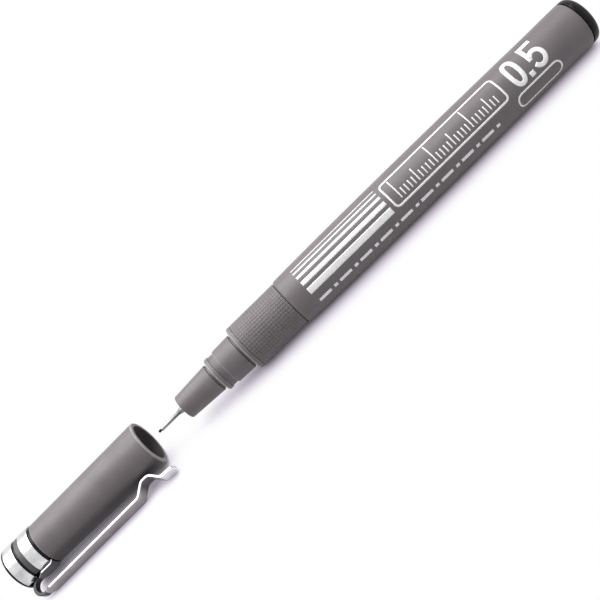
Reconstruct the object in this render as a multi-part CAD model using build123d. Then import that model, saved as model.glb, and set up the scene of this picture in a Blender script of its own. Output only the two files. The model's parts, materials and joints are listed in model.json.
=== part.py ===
from build123d import *
import math
import os

# A fineliner pen lying on a table, with its cap pulled off in front of the nib.
# X runs along the pen from the cap to the tail, Z is up and the table is at Z = 0.
# Sizes are in millimetres. Places along the pen are counted from the nib's point.

# Fits
press_clearance = 0.02
slip_clearance = 0.05
cap_slip_clearance = 0.14
end_gap = 0.3

# Nib, its steel sleeve and the wick behind it
nib_radius = 0.28
nib_exposed = 0.8
nib_tip_round = 0.2
nib_in_wick = 2.0
sleeve_wall = 0.12
sleeve_tube_length = 4.8
sleeve_base_length = 1.6
sleeve_base_rise = 0.5
sleeve_stem_length = 4.0
sleeve_edge_round = 0.05
wick_radius = 1.1
wick_in_reservoir = 8.0

# Cone that holds the sleeve
holder_front_radius = 2.84
holder_rise = 0.5
holder_length = 8.85
holder_edge_round = 0.3
holder_groove_length = 0.65
holder_groove_depth = 0.35
holder_wall = 1.1
holder_stem_length = 9.0

# Grip section: flange, neck, knurled grip and the spigot that plugs into the barrel
neck_radius = 4.33
neck_rise = 0.17
neck_length = 5.2
flange_setback = 0.26
flange_length = 0.95
flange_edge_round = 0.3
flange_groove_depth = 0.2
flange_groove_length = 1.55
relief_length = 0.65
relief_depth = 0.3
grip_step = 1.09
grip_length = 13.6
grip_edge_round = 0.35
knurl_front_border = 1.0
knurl_ring_width = 0.25
knurl_ring_depth = 0.22
knurl_columns = 48
knurl_groove_width = 0.28
knurl_depth = 0.16
spigot_length = 8.0
spigot_wall = 1.0
stem_bore_end_gap = 0.4

# Barrel
barrel_length = 81.4
barrel_joint_step = 0.02
shoulder_length = 0.5
shoulder_rise = 0.19
shoulder_round = 0.6
crown_rise = 0.22
crown_from_front = 25.3
tail_drop = 0.3
tail_straight_length = 9.5
tail_edge_chamfer = 0.12
barrel_wall = 1.0
rib_count = 6
rib_height = 0.3
rib_width = 0.7
rib_end_gap = 1.0

# Ink reservoir in its film
film_wall = 0.12

# Tail plug
plug_length = 2.3
plug_groove_length = 0.35
plug_groove_depth = 0.35
plug_setback = 0.04
plug_edge_round = 1.3
plug_spigot_length = 6.0
plug_wall = 1.0
plug_floor = 1.2
lead_in = 0.25

# Cap tube
cap_pulled_off = 2.8
cap_tube_length = 29.45
cap_wall = 0.82
cap_taper = 0.43
cap_rim_round = 0.3
cap_seat_step = 0.27

# Inner cap that seals against the flange when the cap is on
seal_gap = 0.15
seal_flange_length = 1.2
inner_cap_fit_length = 3.0
inner_cap_wall = 0.6
inner_cap_room = 0.42
inner_cap_end_gap = 0.85
nib_well_radius = 1.5
nib_well_spare = 1.45
nib_well_throat = 2.0

# Closed end of the cap: black core with two metal bands and a grey collar between them
core_step = 0.05
joint_line_length = 0.65
front_band_length = 2.6
band_groove_length = 1.7
rear_band_length = 2.5
band_wall = 0.28
band_edge_round = 0.1
collar_rear_gap = 0.5
collar_sink = 0.12
rim_length = 0.5
rim_rise = 0.22
core_spigot_length = 2.6

# Pocket clip, a strip bent to shape
clip_thickness = 0.7
clip_width = 3.0
clip_leg_sink = 0.1
clip_tang_length = 1.35
clip_tang_round = 0.7
clip_tang_inset = 0.55
clip_loop_height = 3.75
clip_loop_round = 1.85
clip_loop_inset = 0.85
clip_tongue_width = 1.5
clip_taper_length = 1.0
clip_bump_from_mouth = 4.8
clip_bump_flat = 1.9
clip_bump_depth = 2.25
clip_bump_rear_run = 2.3
clip_bump_front_run = 2.0
clip_bump_drop = 2.35
clip_bend_round = 1.4
clip_tip_past_mouth = 1.3
clip_tip_flare = 0.15
clip_tip_round = 0.8
clip_bump_gap = 0.62
clip_seat_clearance = 0.22
clip_side_clearance = 0.15

# Radii worked out from the sizes above, from the nib outwards
sleeve_bore = nib_radius + press_clearance
sleeve_radius = sleeve_bore + sleeve_wall
sleeve_base_radius = sleeve_radius + sleeve_base_rise
sleeve_seat_radius = sleeve_base_radius + press_clearance
wick_bore = wick_radius + slip_clearance
holder_base_radius = holder_front_radius + holder_rise
holder_groove_radius = holder_base_radius - holder_groove_depth
holder_stem_radius = wick_bore + holder_wall
holder_seat_radius = holder_stem_radius + press_clearance
flange_radius = neck_radius - flange_setback
flange_groove_radius = flange_radius - flange_groove_depth
neck_front_radius = neck_radius - neck_rise
relief_radius = neck_radius - relief_depth
grip_radius = neck_radius + grip_step
barrel_front_radius = grip_radius + barrel_joint_step
shoulder_radius = barrel_front_radius + shoulder_rise
crown_radius = shoulder_radius + crown_rise
tail_radius = crown_radius - tail_drop
barrel_bore = tail_radius - barrel_wall
spigot_radius = barrel_bore - press_clearance
spigot_bore = spigot_radius - spigot_wall
film_radius = barrel_bore - rib_height - slip_clearance
film_bore = film_radius - film_wall
reservoir_radius = film_bore - press_clearance
plug_radius = tail_radius - plug_setback
plug_groove_radius = plug_radius - plug_groove_depth
cap_bore = neck_radius + cap_slip_clearance
cap_mouth_radius = cap_bore + cap_wall
cap_rear_radius = cap_mouth_radius - cap_taper
cap_rear_bore = cap_bore - cap_seat_step
seal_flange_radius = cap_bore - press_clearance
inner_cap_radius = cap_rear_bore - press_clearance
core_radius = cap_rear_radius - core_step
core_spigot_radius = cap_rear_bore - press_clearance
band_bore = core_radius + press_clearance
band_radius = band_bore + band_wall
collar_radius = band_radius - collar_sink
rim_radius = core_radius + rim_rise

# Places along the pen, from the nib's point towards the tail
sleeve_base_at = nib_exposed + sleeve_tube_length
holder_at = sleeve_base_at + sleeve_base_length
sleeve_end_at = holder_at + sleeve_stem_length
wick_at = sleeve_end_at + end_gap
nib_end_at = wick_at + nib_in_wick
holder_groove_at = holder_at + holder_length
flange_at = holder_groove_at + holder_groove_length
flange_groove_at = flange_at + flange_length
neck_at = flange_groove_at + flange_groove_length
grip_at = neck_at + neck_length
relief_at = grip_at - relief_length
barrel_at = grip_at + grip_length
holder_end_at = flange_at + holder_stem_length
spigot_end_at = barrel_at + spigot_length
reservoir_at = spigot_end_at + end_gap
tail_at = barrel_at + barrel_length
tail_straight_at = tail_at - tail_straight_length
plug_end_at = tail_at + plug_length
plug_spigot_at = tail_at - plug_spigot_length
reservoir_end_at = plug_spigot_at - end_gap
wick_end_at = reservoir_at + wick_in_reservoir

# Places along the cap, from its mouth towards its closed end
mouth_at = -cap_pulled_off
cap_rear_at = mouth_at - cap_tube_length
core_spigot_at = cap_rear_at + core_spigot_length
inner_cap_end_at = core_spigot_at + inner_cap_end_gap
nib_well_end_at = inner_cap_end_at + inner_cap_wall
seal_at = nib_well_end_at + nib_well_spare + flange_at - seal_gap
seal_seat_at = seal_at - seal_flange_length
cone_well_at = seal_at - (flange_at - holder_at) - inner_cap_room
nib_well_at = cone_well_at - nib_well_throat
front_band_at = cap_rear_at - joint_line_length
band_groove_at = front_band_at - front_band_length
rear_band_at = band_groove_at - band_groove_length
collar_at = band_groove_at - slip_clearance
collar_end_at = rear_band_at + collar_rear_gap
rim_at = rear_band_at - rear_band_length
closed_end_at = rim_at - rim_length

# Middle line of the clip's strip, as distances from the cap's axis
clip_leg_radius = band_radius - clip_leg_sink
clip_arm_rear_radius = clip_leg_radius + clip_loop_height
clip_bump_at = mouth_at - clip_bump_from_mouth
cap_radius_at_bump = cap_mouth_radius - cap_taper * clip_bump_from_mouth / cap_tube_length
clip_bump_radius = cap_radius_at_bump + clip_bump_gap + clip_thickness / 2
clip_arm_front_radius = clip_bump_radius + clip_bump_depth
clip_front_radius = clip_bump_radius + clip_bump_drop
clip_tip_radius = clip_front_radius + clip_tip_flare
clip_loop_at = closed_end_at + clip_loop_inset + clip_thickness / 2
clip_tongue_at = rear_band_at + end_gap
clip_taper_at = clip_tongue_at + clip_taper_length
clip_tang_at = cap_rear_at - clip_tang_inset
clip_tip_at = mouth_at + clip_tip_past_mouth
clip_key_width = clip_width + 2 * clip_side_clearance
tongue_key_width = clip_tongue_width + 2 * clip_side_clearance

# The barrel's crown and an edge of the clip touch the table, which sets how the clip is turned.
# The origin is under the middle of the whole pen, on the table.
axis_height = crown_radius
clip_reach = max(clip_arm_rear_radius, clip_tip_radius) + clip_thickness / 2
clip_corner = math.hypot(clip_reach, clip_width / 2)
clip_edge_angle = math.degrees(math.atan2(clip_width / 2, clip_reach))
clip_droop = math.degrees(math.asin(axis_height / clip_corner)) - clip_edge_angle
clip_side_reach = clip_corner * math.cos(math.radians(clip_droop - clip_edge_angle))
origin_along = (plug_end_at + closed_end_at) / 2
origin_aside = (crown_radius - clip_side_reach) / 2
PEN_PLACE = Pos(-origin_along, -origin_aside, axis_height)
CLIP_TURN = Rot(90 + clip_droop, 0, 0)


def turned(*corners):
    """Solid of revolution about X; each corner is a place, a radius and a rounding."""
    points = [(place, radius) for place, radius, rounding in corners]
    roundings = [rounding for place, radius, rounding in corners]
    outline = FilletPolyline(*points, radius=roundings, close=True)
    return revolve(make_face(outline), Axis.X)


def key_block(front, rear, floor, top, width):
    """Block on the clip's side of the axis, between two places and two distances from the axis."""
    block = Box(front - rear, width, top - floor)
    middle = Pos((front + rear) / 2, 0, (floor + top) / 2)
    return CLIP_TURN * middle * block


def make_nib():
    return turned(
        (0, 0, 0),
        (0, nib_radius, nib_tip_round),
        (nib_end_at, nib_radius, 0),
        (nib_end_at, 0, 0),
    )


def make_nib_sleeve():
    return turned(
        (nib_exposed, sleeve_bore, 0),
        (nib_exposed, sleeve_radius, sleeve_edge_round),
        (sleeve_base_at, sleeve_radius, 0),
        (holder_at, sleeve_base_radius, 0),
        (sleeve_end_at, sleeve_base_radius, 0),
        (sleeve_end_at, sleeve_bore, 0),
    )


def make_feed_wick():
    """Fibre rod with a blind hole that takes the rear of the nib."""
    nib_hole_end = nib_end_at + slip_clearance
    nib_hole_radius = nib_radius + press_clearance
    return turned(
        (wick_at, nib_hole_radius, 0),
        (wick_at, wick_radius, 0),
        (wick_end_at, wick_radius, 0),
        (wick_end_at, 0, 0),
        (nib_hole_end, 0, 0),
        (nib_hole_end, nib_hole_radius, 0),
    )


def make_nib_holder():
    """Cone with a groove behind it and a stem that is pressed into the grip section."""
    step_at = sleeve_end_at + slip_clearance
    return turned(
        (holder_at, sleeve_seat_radius, 0),
        (holder_at, holder_front_radius, holder_edge_round),
        (holder_groove_at, holder_base_radius, 0),
        (holder_groove_at, holder_groove_radius, 0),
        (flange_at, holder_groove_radius, 0),
        (flange_at, holder_stem_radius, 0),
        (holder_end_at, holder_stem_radius, lead_in),
        (holder_end_at, wick_bore, 0),
        (step_at, wick_bore, 0),
        (step_at, sleeve_seat_radius, 0),
    )


def make_grip_section():
    """Moulded section; the grip's grooves lie between two rings and stand for half of its square knurl."""
    stem_bore_end = holder_end_at + stem_bore_end_gap
    ring_at = grip_at + knurl_front_border
    knurl_at = ring_at + knurl_ring_width
    knurl_end_at = barrel_at - knurl_ring_width
    ring_radius = grip_radius - knurl_ring_depth
    body = turned(
        (flange_at, holder_seat_radius, 0),
        (flange_at, flange_radius, flange_edge_round),
        (flange_groove_at, flange_radius, 0),
        (flange_groove_at, flange_groove_radius, 0),
        (neck_at, flange_groove_radius, 0),
        (neck_at, neck_front_radius, 0),
        (relief_at, neck_radius, 0),
        (relief_at, relief_radius, 0),
        (grip_at, relief_radius, 0),
        (grip_at, grip_radius, grip_edge_round),
        (ring_at, grip_radius, 0),
        (ring_at, ring_radius, 0),
        (knurl_at, ring_radius, 0),
        (knurl_at, grip_radius, 0),
        (knurl_end_at, grip_radius, 0),
        (knurl_end_at, ring_radius, 0),
        (barrel_at, ring_radius, 0),
        (barrel_at, spigot_radius, 0),
        (spigot_end_at, spigot_radius, lead_in),
        (spigot_end_at, spigot_bore, 0),
        (stem_bore_end, spigot_bore, 0),
        (stem_bore_end, holder_seat_radius, 0),
    )
    groove_length = knurl_end_at - knurl_at + knurl_ring_width
    groove_shape = Box(groove_length, knurl_groove_width, 2 * knurl_depth)
    groove = Pos((knurl_at + knurl_end_at) / 2, 0, grip_radius) * groove_shape
    grooves = [Rot(360 * column / knurl_columns, 0, 0) * groove for column in range(knurl_columns)]
    return body - grooves


def make_barrel():
    """Crowned tube with a rounded shoulder, a straight tail and ribs that centre the reservoir."""
    shoulder_at = barrel_at + shoulder_length
    front = Polyline(
        (barrel_at, barrel_bore),
        (barrel_at, barrel_front_radius),
        (shoulder_at, shoulder_radius),
    )
    crown_point = (barrel_at + crown_from_front, crown_radius)
    front_crown = TangentArc(crown_point, (shoulder_at, shoulder_radius), tangent=(-1, 0))
    rear_crown = TangentArc(crown_point, (tail_straight_at, tail_radius), tangent=(1, 0))
    rear = Polyline(
        (tail_straight_at, tail_radius),
        (tail_at - tail_edge_chamfer, tail_radius),
        (tail_at, tail_radius - tail_edge_chamfer),
        (tail_at, barrel_bore),
        (barrel_at, barrel_bore),
    )
    outline = make_face([*front.edges(), *front_crown.edges(), *rear_crown.edges(), *rear.edges()])
    shoulder = outline.vertices().sort_by_distance((shoulder_at, shoulder_radius))[0]
    tube = revolve(fillet(shoulder, shoulder_round), Axis.X)
    rib_front = reservoir_at + rib_end_gap
    rib_rear = reservoir_end_at - rib_end_gap
    rib_root = barrel_bore + barrel_wall / 2
    rib_top = barrel_bore - rib_height
    rib = Pos((rib_front + rib_rear) / 2, 0, (rib_root + rib_top) / 2) * Box(
        rib_rear - rib_front, rib_width, rib_root - rib_top
    )
    ribs = [Rot(360 * number / rib_count, 0, 0) * rib for number in range(rib_count)]
    return tube + ribs


def make_ink_reservoir():
    """Fibre rod with a blind hole that takes the rear of the wick."""
    wick_hole_end = wick_end_at + slip_clearance
    return turned(
        (reservoir_at, wick_bore, 0),
        (reservoir_at, reservoir_radius, 0),
        (reservoir_end_at, reservoir_radius, 0),
        (reservoir_end_at, 0, 0),
        (wick_hole_end, 0, 0),
        (wick_hole_end, wick_bore, 0),
    )


def make_reservoir_film():
    return turned(
        (reservoir_at, film_bore, 0),
        (reservoir_at, film_radius, 0),
        (reservoir_end_at, film_radius, 0),
        (reservoir_end_at, film_bore, 0),
    )


def make_tail_plug():
    """Plug with a shadow groove next to the barrel, a rounded head and a hollow spigot."""
    head_at = tail_at + plug_groove_length
    hollow_end = tail_at - plug_floor
    plug_spigot_radius = barrel_bore - press_clearance
    hollow_radius = plug_spigot_radius - plug_wall
    return turned(
        (plug_spigot_at, hollow_radius, 0),
        (plug_spigot_at, plug_spigot_radius, lead_in),
        (tail_at, plug_spigot_radius, 0),
        (tail_at, plug_groove_radius, 0),
        (head_at, plug_groove_radius, 0),
        (head_at, plug_radius, 0),
        (plug_end_at, plug_radius, plug_edge_round),
        (plug_end_at, 0, 0),
        (hollow_end, 0, 0),
        (hollow_end, hollow_radius, 0),
    )


def make_cap_shell():
    """Tapered tube; the wide bore takes the neck, the step behind it seats the inner cap."""
    return turned(
        (mouth_at, cap_bore, 0),
        (mouth_at, cap_mouth_radius, cap_rim_round),
        (cap_rear_at, cap_rear_radius, 0),
        (cap_rear_at, cap_rear_bore, 0),
        (seal_seat_at, cap_rear_bore, 0),
        (seal_seat_at, cap_bore, 0),
    )


def make_inner_cap():
    """Thimble whose well follows the cone and the nib tube with room to spare."""
    fit_end = seal_seat_at - inner_cap_fit_length
    cone_well_radius = holder_front_radius + inner_cap_room
    seal_bore = holder_base_radius + inner_cap_room
    throat_radius = cone_well_radius + inner_cap_wall
    nose_radius = nib_well_radius + inner_cap_wall
    return turned(
        (seal_at, seal_bore, 0),
        (seal_at, seal_flange_radius, 0),
        (seal_seat_at, seal_flange_radius, 0),
        (seal_seat_at, inner_cap_radius, 0),
        (fit_end, inner_cap_radius, 0),
        (cone_well_at, throat_radius, 0),
        (nib_well_at, nose_radius, 0),
        (inner_cap_end_at, nose_radius, inner_cap_wall),
        (inner_cap_end_at, 0, 0),
        (nib_well_end_at, 0, 0),
        (nib_well_end_at, nib_well_radius, 0),
        (nib_well_at, nib_well_radius, 0),
        (cone_well_at, cone_well_radius, 0),
    )


def make_cap_end_plug():
    """Core that carries the bands, with a keyway and a pocket for the clip's leg and tang."""
    core = turned(
        (core_spigot_at, 0, 0),
        (core_spigot_at, core_spigot_radius, lead_in),
        (cap_rear_at, core_spigot_radius, 0),
        (cap_rear_at, core_radius, 0),
        (rim_at, core_radius, 0),
        (rim_at, rim_radius, 0),
        (closed_end_at, rim_radius, rim_length / 2),
        (closed_end_at, 0, 0),
    )
    half_strip = clip_thickness / 2
    key_floor = clip_leg_radius - half_strip - clip_seat_clearance
    key_rear = clip_tongue_at - clip_side_clearance
    tongue_rear = clip_loop_at - half_strip - clip_seat_clearance
    pocket_front = clip_tang_at + half_strip + clip_seat_clearance
    pocket_rear = clip_tang_at - half_strip - clip_tang_round - clip_seat_clearance
    pocket_floor = clip_leg_radius - clip_tang_length - clip_seat_clearance
    keyway = key_block(pocket_front, key_rear, key_floor, clip_reach, clip_key_width)
    tongue_way = key_block(pocket_front, tongue_rear, key_floor, clip_reach, tongue_key_width)
    pocket = key_block(pocket_front, pocket_rear, pocket_floor, clip_reach, clip_key_width)
    return core - keyway - tongue_way - pocket


def make_band(front, rear, radius, opening_width):
    """Ring on the core, open where the clip's leg or tongue lies."""
    ring = turned(
        (front, band_bore, 0),
        (front, radius, band_edge_round),
        (rear, radius, band_edge_round),
        (rear, band_bore, 0),
    )
    opening = key_block(front + end_gap, rear - end_gap, 0, clip_reach, opening_width)
    return ring - opening


def make_pocket_clip():
    """Strip swept along its bends: tang, leg, loop, arm, inward bump and flared tip.

    Both sides are then cut so that the strip tapers to a tongue round the loop.
    """
    bump_rear = clip_bump_at - clip_bump_flat / 2
    bump_front = clip_bump_at + clip_bump_flat / 2
    bends = [
        (clip_tang_at, 0, clip_leg_radius - clip_tang_length),
        (clip_tang_at, 0, clip_leg_radius),
        (clip_loop_at, 0, clip_leg_radius),
        (clip_loop_at, 0, clip_arm_rear_radius),
        (bump_rear - clip_bump_rear_run, 0, clip_arm_front_radius),
        (bump_rear, 0, clip_bump_radius),
        (bump_front, 0, clip_bump_radius),
        (bump_front + clip_bump_front_run, 0, clip_front_radius),
        (clip_tip_at, 0, clip_tip_radius),
    ]
    bump_rounds = [clip_bend_round] * 4
    rounds = [clip_tang_round, clip_loop_round, clip_loop_round, *bump_rounds]
    middle_line = FilletPolyline(*bends, radius=rounds)
    start = Plane(middle_line @ 0, x_dir=(0, 1, 0), z_dir=middle_line % 0)
    strip = sweep(start * Rectangle(clip_width, clip_thickness), path=middle_line)
    tip_corners = strip.faces().sort_by(Axis.X)[-1].edges().sort_by(SortBy.LENGTH)[:2]
    half_width = clip_width / 2
    half_tongue = clip_tongue_width / 2
    past_side = half_width + end_gap
    side_outline = Polyline(
        (closed_end_at, half_tongue),
        (clip_tongue_at, half_tongue),
        (clip_taper_at, half_width),
        (clip_taper_at, past_side),
        (closed_end_at, past_side),
        close=True,
    )
    side_cut = extrude(make_face(side_outline), amount=2 * clip_reach)
    other_side_cut = mirror(side_cut, about=Plane.XZ)
    strip = fillet(tip_corners, clip_tip_round) - side_cut - other_side_cut
    return CLIP_TURN * strip


PIECES = {
    "nib": make_nib(),
    "nib_sleeve": make_nib_sleeve(),
    "feed_wick": make_feed_wick(),
    "nib_holder": make_nib_holder(),
    "grip_section": make_grip_section(),
    "barrel": make_barrel(),
    "ink_reservoir": make_ink_reservoir(),
    "reservoir_film": make_reservoir_film(),
    "tail_plug": make_tail_plug(),
    "cap_shell": make_cap_shell(),
    "inner_cap": make_inner_cap(),
    "cap_end_plug": make_cap_end_plug(),
    "front_band": make_band(front_band_at, band_groove_at, band_radius, clip_key_width),
    "core_collar": make_band(collar_at, collar_end_at, collar_radius, clip_key_width),
    "rear_band": make_band(rear_band_at, rim_at, band_radius, tongue_key_width),
    "pocket_clip": make_pocket_clip(),
}

os.makedirs("parts", exist_ok=True)
for name, piece in PIECES.items():
    placed = PEN_PLACE * piece
    placed.label = name
    export_step(placed, f"parts/{name}.step")
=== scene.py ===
import json
import math

import bpy
import numpy as np
from mathutils import Matrix, Vector


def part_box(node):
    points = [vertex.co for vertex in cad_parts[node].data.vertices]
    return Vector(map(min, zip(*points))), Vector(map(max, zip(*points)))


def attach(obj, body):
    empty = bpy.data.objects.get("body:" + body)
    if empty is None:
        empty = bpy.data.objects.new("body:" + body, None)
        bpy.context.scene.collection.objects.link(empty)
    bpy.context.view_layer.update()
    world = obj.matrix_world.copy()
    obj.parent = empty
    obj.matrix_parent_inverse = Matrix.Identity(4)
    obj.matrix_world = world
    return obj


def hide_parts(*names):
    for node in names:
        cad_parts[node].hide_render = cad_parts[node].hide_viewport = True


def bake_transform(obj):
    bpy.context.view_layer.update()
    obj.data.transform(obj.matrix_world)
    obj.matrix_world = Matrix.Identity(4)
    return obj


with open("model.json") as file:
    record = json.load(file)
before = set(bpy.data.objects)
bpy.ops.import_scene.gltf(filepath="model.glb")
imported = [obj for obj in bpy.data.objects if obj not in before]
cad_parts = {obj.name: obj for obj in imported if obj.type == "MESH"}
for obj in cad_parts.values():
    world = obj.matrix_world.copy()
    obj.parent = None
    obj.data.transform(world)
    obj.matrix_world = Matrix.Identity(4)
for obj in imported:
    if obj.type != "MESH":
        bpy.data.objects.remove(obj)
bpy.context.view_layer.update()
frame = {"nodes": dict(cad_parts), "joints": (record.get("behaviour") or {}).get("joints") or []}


# Nib: a thin rod of bonded fibre, soaked black by the ink that it draws.
# It is ground to a blunt round point and pressed into the steel sleeve.
mm = 0.001
barrel_low, barrel_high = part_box("barrel")
axis_y = (barrel_low.y + barrel_high.y) / 2 / mm
axis_z = (barrel_low.z + barrel_high.z) / 2 / mm
nib_tip_round = 0.2
nib_end_round = 0.04
nib_black = (0.003, 0.003, 0.0035, 1)
nib_worn = (0.010, 0.0095, 0.010, 1)
wet_gloss = 0.2
fibre_roughness = (0.5, 0.8)
fibre_relief = 0.03
fibres_per_metre = 9000
fibre_stretch = (0.04, 1, 1)
noise_band = (0.3, 0.7)


def node_span(node):
    """Front place, rear place and largest radius of a CAD node, in millimetres."""
    low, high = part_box(node)
    return low.x / mm, high.x / mm, (high.z - low.z) / 2 / mm


def rounded_profile(corners, arc_steps=6, guard=0.1):
    """Outline through corners of (place, radius, rounding), in millimetres.

    A rounded corner becomes an arc that touches both of its sides: the arc's centre is on the
    bisector, at rounding / sin(half angle). A guard point on each side keeps the flats flat.
    Returns the points, and for each point 1 on an outward edge and 0 elsewhere.
    """
    spots = np.array([corner[:2] for corner in corners], float)
    rounding = np.array([corner[2] for corner in corners], float)
    before = np.roll(spots, 1, axis=0) - spots
    after = np.roll(spots, -1, axis=0) - spots
    side = np.linalg.norm(after, axis=1)
    before /= np.linalg.norm(before, axis=1)[:, None]
    after /= side[:, None]
    half = np.arccos(np.clip((before * after).sum(axis=1), -1, 1)) / 2
    reach = rounding / np.tan(half)
    after_guard = np.minimum(guard, (side - reach - np.roll(reach, -1)) / 3)
    before_guard = np.roll(after_guard, 1)
    outward = before[:, 0] * after[:, 1] > before[:, 1] * after[:, 0]
    share = np.linspace(0, 1, arc_steps + 1)[:, None]
    points = []
    edges = []
    for number, spot in enumerate(spots):
        if rounding[number] == 0:
            points.append(spot[None])
            edges.append([0])
            continue
        bisector = before[number] + after[number]
        bisector /= np.linalg.norm(bisector)
        centre = spot + bisector * rounding[number] / np.sin(half[number])
        start = spot + before[number] * reach[number]
        stop = spot + after[number] * reach[number]
        turn = np.pi - 2 * half[number]
        swing = np.sin((1 - share) * turn) * (start - centre) + np.sin(share * turn) * (stop - centre)
        lead = start + before[number] * before_guard[number]
        trail = stop + after[number] * after_guard[number]
        points.append(np.vstack([lead, centre + swing / np.sin(turn), trail]))
        edges.append([0, *[float(outward[number])] * (arc_steps + 1), 0])
    return np.vstack(points), np.concatenate(edges)


def grid_part(grid, rows="closed"):
    """Points and faces of a grid [row, column] whose columns close on themselves.

    The rows close on themselves, or end in poles (all points of an end row are one point), or
    end in flat caps.
    """
    count = grid.shape[1]
    rings = grid[1:-1] if rows == "poles" else grid
    row = np.arange(len(rings) if rows == "closed" else len(rings) - 1)[:, None]
    column = np.arange(count)[None, :]
    next_row = (row + 1) % len(rings) * count
    next_column = (column + 1) % count
    row = row * count
    corners = [row + column, row + next_column, next_row + next_column, next_row + column]
    faces = np.stack(corners, axis=-1).reshape(-1, 4).tolist()
    points = rings.reshape(-1, 3)
    first = np.arange(count)
    last = first + (len(rings) - 1) * count
    if rows == "capped":
        faces += [first[::-1].tolist(), last.tolist()]
    if rows == "poles":
        front = np.full(count, len(points))
        faces += np.stack([np.roll(first, -1), first, front], axis=-1).tolist()
        faces += np.stack([last, np.roll(last, -1), front + 1], axis=-1).tolist()
        points = np.vstack([points, grid[0, 0], grid[-1, 0]])
    return points, faces


def add_piece(name, parts, edges=None):
    """Object from parts of points and faces, in millimetres from the pen's axis.

    The faces are turned outwards by the sign of the enclosed volume, the sum of a.(b x c) / 6 over
    the triangles. Flat caps stay flat, and everything else is smooth.
    """
    starts = np.cumsum([0] + [len(points) for points, faces in parts])
    points = np.vstack([part[0] for part in parts])
    faces = []
    for start, (part_points, part_faces) in zip(starts, parts):
        middle = part_points.mean(axis=0)
        a, b, c = (part_points[[face[k] for face in part_faces]] - middle for k in range(3))
        d = part_points[[face[-1] for face in part_faces]] - middle
        volume = np.einsum("ij,ij->", a, np.cross(b, c)) + np.einsum("ij,ij->", a, np.cross(c, d))
        turn = 1 if volume > 0 else -1
        faces += [[start + corner for corner in face[::turn]] for face in part_faces]
    mesh = bpy.data.meshes.new(name)
    mesh.from_pydata((points + (0, axis_y, axis_z)) * mm, [], faces)
    mesh.polygons.foreach_set("use_smooth", np.array([len(face) < 5 for face in faces]))
    # Per point: edge wear and painted highlight above 0, painted shade below 0.
    wear_and_painted_light = mesh.attributes.new("edge_wear_and_painted_light", "FLOAT", "POINT")
    wear_and_painted_light.data.foreach_set("value", np.zeros(len(points)) if edges is None else edges)
    mesh.update()
    piece = bpy.data.objects.new(name, mesh)
    bpy.context.scene.collection.objects.link(piece)
    return piece


def revolved(name, places, radii, turns, edges):
    """Surface (x, r cos t, r sin t) about the pen's axis, where r may change along it and round it.

    A profile that starts and ends on the axis gets poles, and any other closes on itself.
    """
    radii = np.broadcast_to(radii, (len(places), len(turns)))
    x = np.broadcast_to(places[:, None], radii.shape)
    grid = np.stack([x, radii * np.cos(turns), radii * np.sin(turns)], axis=-1)
    if radii[0].max() > 0:
        return add_piece(name, [grid_part(grid)], np.repeat(edges, len(turns)))
    ring_edges = np.repeat(edges[1:-1], len(turns))
    return add_piece(name, [grid_part(grid, "poles")], np.append(ring_edges, [0, 0]))


def paint_shade(profile, edges, front, rear, radius, amount):
    """Marks the outline between two places and within a radius for painted shade: minus the amount."""
    place, height = profile.T
    edges[(place > front) & (place < rear) & (height < radius)] = -amount


def turned_piece(name, corners, columns=96, wear_and_painted_light=1.0, painted_shade=None):
    """Body of revolution of a rounded outline, with its edges paled, partly wear and partly painted
    highlight, and one span of it darkened with painted shade.
    """
    profile, edges = rounded_profile(corners)
    edges *= wear_and_painted_light
    if painted_shade:
        paint_shade(profile, edges, *painted_shade)
    turns = np.arange(columns) * 2 * np.pi / columns
    return revolved(name, profile[:, 0], profile[:, 1:], turns, edges)


def dress(piece, node, body, finish):
    """The piece stands for a CAD node, moves with its body and takes a finish."""
    piece.data.materials.append(finish)
    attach(piece, body)
    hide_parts(node)


def add_node(tree, kind, inputs, **settings):
    """Shader node with its inputs set: a socket is linked, anything else is a plain value."""
    made = tree.nodes.new(kind)
    for key, value in settings.items():
        setattr(made, key, value)
    for key, value in inputs.items():
        if isinstance(value, bpy.types.NodeSocket):
            tree.links.new(value, made.inputs[key])
        else:
            made.inputs[key].default_value = value
    return made


def new_finish(name):
    """Node material with its Principled shader."""
    finish = bpy.data.materials.new(name)
    finish.use_nodes = True
    return finish, finish.node_tree, finish.node_tree.nodes["Principled BSDF"]


def grain(tree, per_metre, stretch=(1, 1, 1), detail=3):
    """Noise on the piece's own coordinates, drawn out along an axis whose stretch is below 1."""
    place = add_node(tree, "ShaderNodeTexCoord", {})
    drawn = add_node(tree, "ShaderNodeMapping", {"Vector": place.outputs["Object"], "Scale": stretch})
    noise = add_node(
        tree,
        "ShaderNodeTexNoise",
        {"Vector": drawn.outputs["Vector"], "Scale": per_metre, "Detail": detail},
    )
    return noise.outputs["Fac"]


def spread(tree, source, low=0, high=1):
    """The middle band of a noise, spread between two values."""
    band = {"From Min": noise_band[0], "From Max": noise_band[1]}
    limits = {"Value": source, **band, "To Min": low, "To Max": high}
    return add_node(tree, "ShaderNodeMapRange", limits).outputs["Result"]


def mixed(tree, share, first, second):
    """Colour that goes from the first to the second with a share."""
    sockets = {"Factor": share, 6: first, 7: second}
    return add_node(tree, "ShaderNodeMix", sockets, data_type="RGBA").outputs[2]


def edge_state(tree, factor):
    """The mesh's edge attribute times a factor; it is above 0 on worn edges and painted highlights, and
    below 0 where shade is painted.
    """
    state = add_node(tree, "ShaderNodeAttribute", {}, attribute_name="edge_wear_and_painted_light").outputs["Fac"]
    return add_node(tree, "ShaderNodeMath", {0: state, 1: factor}, operation="MULTIPLY").outputs[0]


def set_surface(tree, shader, colour, roughness, height, relief):
    """Colour, roughness and a bump with a relief in millimetres, all from noise."""
    bump = add_node(tree, "ShaderNodeBump", {"Height": height, "Distance": relief * mm})
    tree.links.new(colour, shader.inputs["Base Color"])
    tree.links.new(roughness, shader.inputs["Roughness"])
    tree.links.new(bump.outputs["Normal"], shader.inputs["Normal"])


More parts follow.
